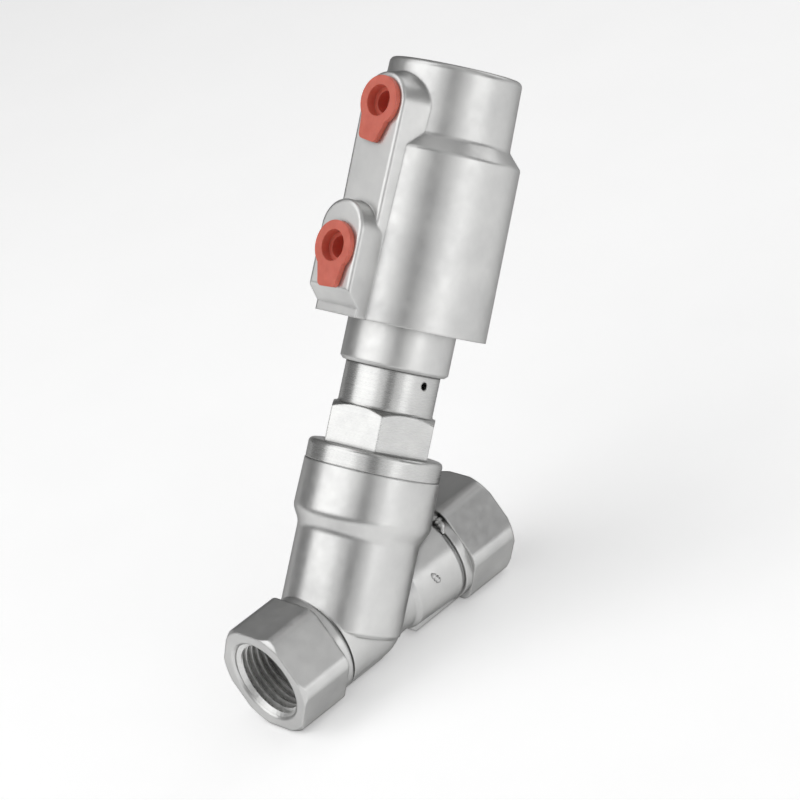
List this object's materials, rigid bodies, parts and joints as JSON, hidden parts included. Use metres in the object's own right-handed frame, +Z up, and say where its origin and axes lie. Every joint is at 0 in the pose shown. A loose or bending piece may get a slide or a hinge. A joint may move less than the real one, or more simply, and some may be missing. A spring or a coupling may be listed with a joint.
{
  "type": "angle seat valve",
  "caption": "Pneumatic angle seat valve: threaded body, hexagon bonnet, inclined stem with sealing disc, and a piston actuator with plugged air ports.",
  "frame": {"origin": "on the flow axis, 1 mm inside the inlet port's mouth, where its threaded wall is full", "axes": "+X along the flow, from inlet mouth to outlet mouth; +Z up, on the actuator's side; +Y completes the frame, and the valve is nearly symmetric about XZ"},
  "size_m": [0.1235, 0.0414, 0.132],
  "materials": {
    "cast_steel": "blasted cast stainless steel, satin",
    "turned_steel": "turned stainless steel",
    "spring_steel": "drawn spring wire",
    "aluminium_piston": "anodised aluminium",
    "bronze": "turned bronze",
    "ptfe": "waxy white PTFE",
    "rubber_seal": "moulded rubber",
    "red_plastic": "soft moulded polyethylene"
  },
  "bodies": {
    "valve": {"valve_body": "cast_steel", "body_gasket": "ptfe", "bonnet": "turned_steel", "stem_wiper": "ptfe", "stem_guide_bush": "bronze", "packing_support_ring": "turned_steel", "packing_spring": "spring_steel", "packing_base_ring": "ptfe", "packing_chevrons": "ptfe", "packing_top_ring": "ptfe", "gland_nut": "turned_steel", "rod_seal_carrier": "bronze", "rod_seal": "rubber_seal", "swivel_ring": "spring_steel"},
    "spindle": {"stem": "turned_steel", "valve_disc": "turned_steel", "disc_seal": "ptfe", "disc_seal_retainer": "turned_steel", "disc_nut": "turned_steel", "piston": "aluminium_piston", "piston_seal": "rubber_seal", "piston_guide_ring": "ptfe", "piston_washer": "turned_steel", "piston_nut": "turned_steel"},
    "actuator": {"actuator_housing": "cast_steel", "lower_cover": "cast_steel", "collar_o_ring": "rubber_seal", "cover_o_ring": "rubber_seal", "cover_retaining_ring": "spring_steel", "main_spring": "spring_steel", "spring_cup": "turned_steel"},
    "upper_plug": {"upper_dust_plug": "red_plastic"},
    "lower_plug": {"lower_dust_plug": "red_plastic"}
  },
  "joints": [
    {"name": "stem_lift", "type": "slide", "parent": "valve", "child": "spindle", "axis": [0.6157, 0, 0.788], "range_m": [0, 0.008], "deforming": ["main_spring"]},
    {"name": "actuator_swivel", "type": "hinge", "parent": "valve", "child": "actuator", "pos_m": [0.0252, 0, 0], "axis": [0.6157, 0, 0.788], "continuous": true},
    {"name": "upper_plug_pull", "type": "slide", "parent": "actuator", "child": "upper_plug", "axis": [-0.788, 0, 0.6157], "range_m": [0, 0.012]},
    {"name": "lower_plug_pull", "type": "slide", "parent": "actuator", "child": "lower_plug", "axis": [-0.788, 0, 0.6157], "range_m": [0, 0.012]}
  ]
}
